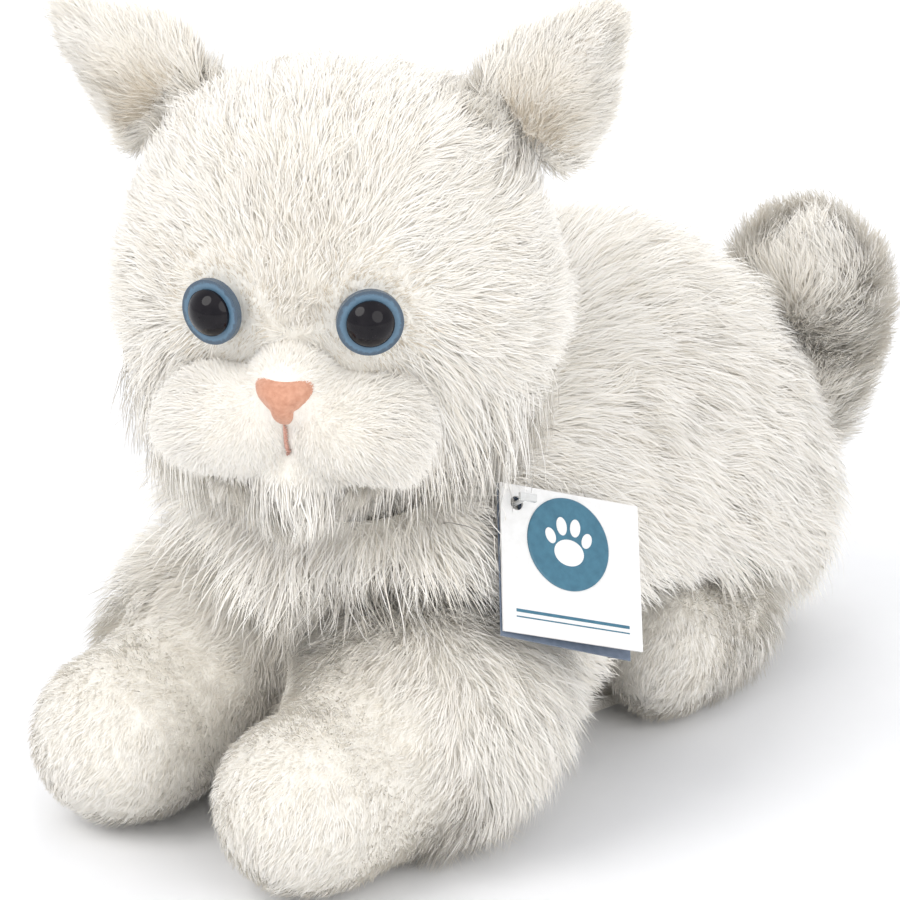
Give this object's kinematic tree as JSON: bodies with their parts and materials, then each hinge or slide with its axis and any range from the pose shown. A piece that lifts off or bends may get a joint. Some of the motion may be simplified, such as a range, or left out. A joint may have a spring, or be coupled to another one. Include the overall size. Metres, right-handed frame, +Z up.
{
  "type": "plush cat",
  "caption": "Long-pile plush cat lying on its belly with head turned, jointed soft neck, ears, legs and tail, safety eyes and a folded hang tag.",
  "frame": {"origin": "middle of the flat belly panel's resting face, on the floor", "axes": "+Z up, the torso looks along -Y, +X to the cat's left"},
  "size_m": [0.1576, 0.3021, 0.2208],
  "materials": {
    "plush_long": "long-pile plush, ivory",
    "plush_short": "short-pile plush, ivory",
    "ear_lining": "short-pile plush, tan",
    "fibrefill": "loose polyester fibrefill",
    "eye_black": "polished",
    "eye_blue": "clear-coated blue",
    "eye_fixing": "moulded",
    "nose_velour": "salmon velour",
    "thread": "twisted embroidery thread",
    "label_satin": "woven satin ribbon",
    "card_white": "coated card",
    "card_grey": "coated card, printed blue-grey",
    "ink_blue": "raised blue print",
    "barb_clear": "clear nylon"
  },
  "bodies": {
    "torso": {"torso_cover": "plush_long", "torso_stuffing": "fibrefill", "belly_panel": "plush_short", "care_label": "label_satin", "tag_fastener": "barb_clear"},
    "neck": {"neck_cover": "plush_long", "neck_stuffing": "fibrefill"},
    "head": {"head_cover": "plush_long", "head_stuffing": "fibrefill", "muzzle_cover": "plush_short", "muzzle_stuffing": "fibrefill", "chin_cover": "plush_short", "nose_patch": "nose_velour", "mouth_stitch": "thread", "eye_left_pupil": "eye_black", "eye_left_iris": "eye_blue", "eye_left_shank": "eye_fixing", "eye_left_washer": "eye_fixing", "eye_right_pupil": "eye_black", "eye_right_iris": "eye_blue", "eye_right_shank": "eye_fixing", "eye_right_washer": "eye_fixing"},
    "ear_left": {"ear_left_cover": "plush_long", "ear_left_lining": "ear_lining"},
    "ear_right": {"ear_right_cover": "plush_long", "ear_right_lining": "ear_lining"},
    "tail": {"tail_cover": "plush_long", "tail_stuffing": "fibrefill"},
    "tag": {"tag_back_leaf": "card_grey"},
    "tag_leaf": {"tag_front_leaf": "card_white", "tag_emblem": "ink_blue"},
    "foreleg_left": {"foreleg_left_cover": "plush_short", "foreleg_left_stuffing": "fibrefill"},
    "foreleg_right": {"foreleg_right_cover": "plush_short", "foreleg_right_stuffing": "fibrefill"},
    "hind_leg_left": {"hind_leg_left_cover": "plush_short", "hind_leg_left_stuffing": "fibrefill"},
    "hind_leg_right": {"hind_leg_right_cover": "plush_short", "hind_leg_right_stuffing": "fibrefill"}
  },
  "joints": [
    {"name": "head_turn", "type": "hinge", "parent": "torso", "child": "neck", "pos_m": [0.001, -0.062, 0.098], "axis": [0, 0, 1], "range_deg": [-15, 15], "stiffness_Nm_per_rad": 1},
    {"name": "head_nod", "type": "hinge", "parent": "neck", "child": "head", "pos_m": [0.001, -0.062, 0.098], "axis": [0.891, 0.454, 0], "range_deg": [-7, 7], "stiffness_Nm_per_rad": 1.5},
    {"name": "ear_left_fold", "type": "hinge", "parent": "head", "child": "ear_left", "pos_m": [0.0421, -0.0449, 0.188], "axis": [0.4832, 0.5119, -0.7103], "range_deg": [-20, 20], "stiffness_Nm_per_rad": 0.05},
    {"name": "ear_right_fold", "type": "hinge", "parent": "head", "child": "ear_right", "pos_m": [-0.0399, -0.0866, 0.188], "axis": [-0.6982, -0.09, -0.7103], "range_deg": [-20, 20], "stiffness_Nm_per_rad": 0.05},
    {"name": "foreleg_left_lift", "type": "hinge", "parent": "torso", "child": "foreleg_left", "pos_m": [0.038, -0.072, 0.038], "axis": [-1, 0, 0], "range_deg": [0, 24], "stiffness_Nm_per_rad": 0.4},
    {"name": "foreleg_right_lift", "type": "hinge", "parent": "torso", "child": "foreleg_right", "pos_m": [-0.038, -0.072, 0.038], "axis": [-1, 0, 0], "range_deg": [0, 24], "stiffness_Nm_per_rad": 0.4},
    {"name": "hind_leg_left_splay", "type": "hinge", "parent": "torso", "child": "hind_leg_left", "pos_m": [0.038, 0.054, 0.022], "axis": [0, 0, 1], "range_deg": [0, 12], "stiffness_Nm_per_rad": 0.3},
    {"name": "hind_leg_right_splay", "type": "hinge", "parent": "torso", "child": "hind_leg_right", "pos_m": [-0.038, 0.054, 0.022], "axis": [0, 0, -1], "range_deg": [0, 12], "stiffness_Nm_per_rad": 0.3},
    {"name": "tail_lift", "type": "hinge", "parent": "torso", "child": "tail", "pos_m": [0.003, 0.112, 0.045], "axis": [-1, 0, 0], "range_deg": [0, 30], "stiffness_Nm_per_rad": 0.25},
    {"name": "tag_swing", "type": "hinge", "parent": "torso", "child": "tag", "pos_m": [0.056, -0.0622, 0.0962], "axis": [-0.2079, -0.9781, 0], "range_deg": [0, 24]},
    {"name": "tag_open", "type": "hinge", "parent": "tag", "child": "tag_leaf", "pos_m": [0.0603, -0.0738, 0.0864], "axis": [0.4223, -0.4892, -0.7631], "range_deg": [0, 16]}
  ]
}
